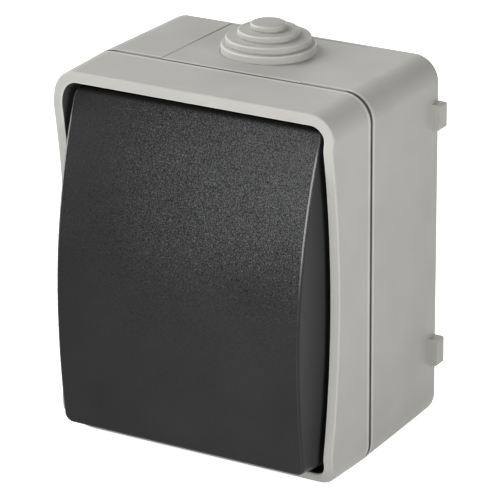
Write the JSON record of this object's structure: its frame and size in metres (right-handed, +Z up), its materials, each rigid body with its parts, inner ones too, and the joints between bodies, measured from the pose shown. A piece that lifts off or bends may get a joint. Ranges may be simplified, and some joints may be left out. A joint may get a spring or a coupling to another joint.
{
  "type": "weatherproof bell push",
  "caption": "Surface-mounted weatherproof bell push: light grey box and front, dark curved rocker over a sealed push contact, stepped cable gland on top.",
  "frame": {"origin": "middle of the flat face that lies on the wall", "axes": "+X to the visitor's right, +Y into the wall, +Z up towards the cable gland"},
  "size_m": [0.0688, 0.0518, 0.0867],
  "materials": {
    "housing_grey": "light warm grey moulded plastic, fine satin surface",
    "rocker_anthracite": "anthracite moulded plastic, fine spark grain on the front, smoother sides",
    "gland_rubber": "soft light grey thermoplastic rubber",
    "seal_rubber": "black sealing rubber",
    "screw_steel": "zinc plated steel",
    "spring_steel": "drawn spring wire",
    "mechanism_plastic": "off-white moulded plastic",
    "contact_brass": "stamped brass",
    "contact_silver": "silver contact metal"
  },
  "bodies": {
    "housing": {"base_box": "housing_grey", "front_frame": "housing_grey", "cable_grommet": "gland_rubber", "frame_gasket": "seal_rubber", "frame_screws": "screw_steel", "frame_screw_seals": "seal_rubber", "plunger_boot": "seal_rubber", "plunger_spring": "spring_steel", "mechanism_body": "mechanism_plastic", "mechanism_cover": "mechanism_plastic", "mechanism_cover_screws": "screw_steel", "mechanism_screws": "screw_steel", "fixed_contact_left": "contact_brass", "fixed_contact_right": "contact_brass", "fixed_rivets": "contact_silver", "terminal_left": "contact_brass", "terminal_loop": "contact_brass", "terminal_right": "contact_brass", "terminal_screws": "screw_steel"},
    "rocker": {"rocker": "rocker_anthracite"},
    "plunger": {"plunger": "mechanism_plastic", "contact_bridge": "contact_brass", "moving_rivets": "contact_silver"}
  },
  "joints": [
    {"name": "rocker_press", "type": "hinge", "parent": "housing", "child": "rocker", "pos_m": [0, -0.0365, 0], "axis": [1, 0, 0], "range_deg": [0, 6], "stiffness_Nm_per_rad": 0.8, "springref_deg": -4.3},
    {"name": "plunger_slide", "type": "slide", "parent": "housing", "child": "plunger", "axis": [0, 1, 0], "range_m": [0, 0.0017], "deforming": ["plunger_spring", "plunger_boot"]}
  ],
  "couplings": [
    {"joint": "plunger_slide", "follows": "rocker_press", "m_per_rad": 0.016}
  ]
}
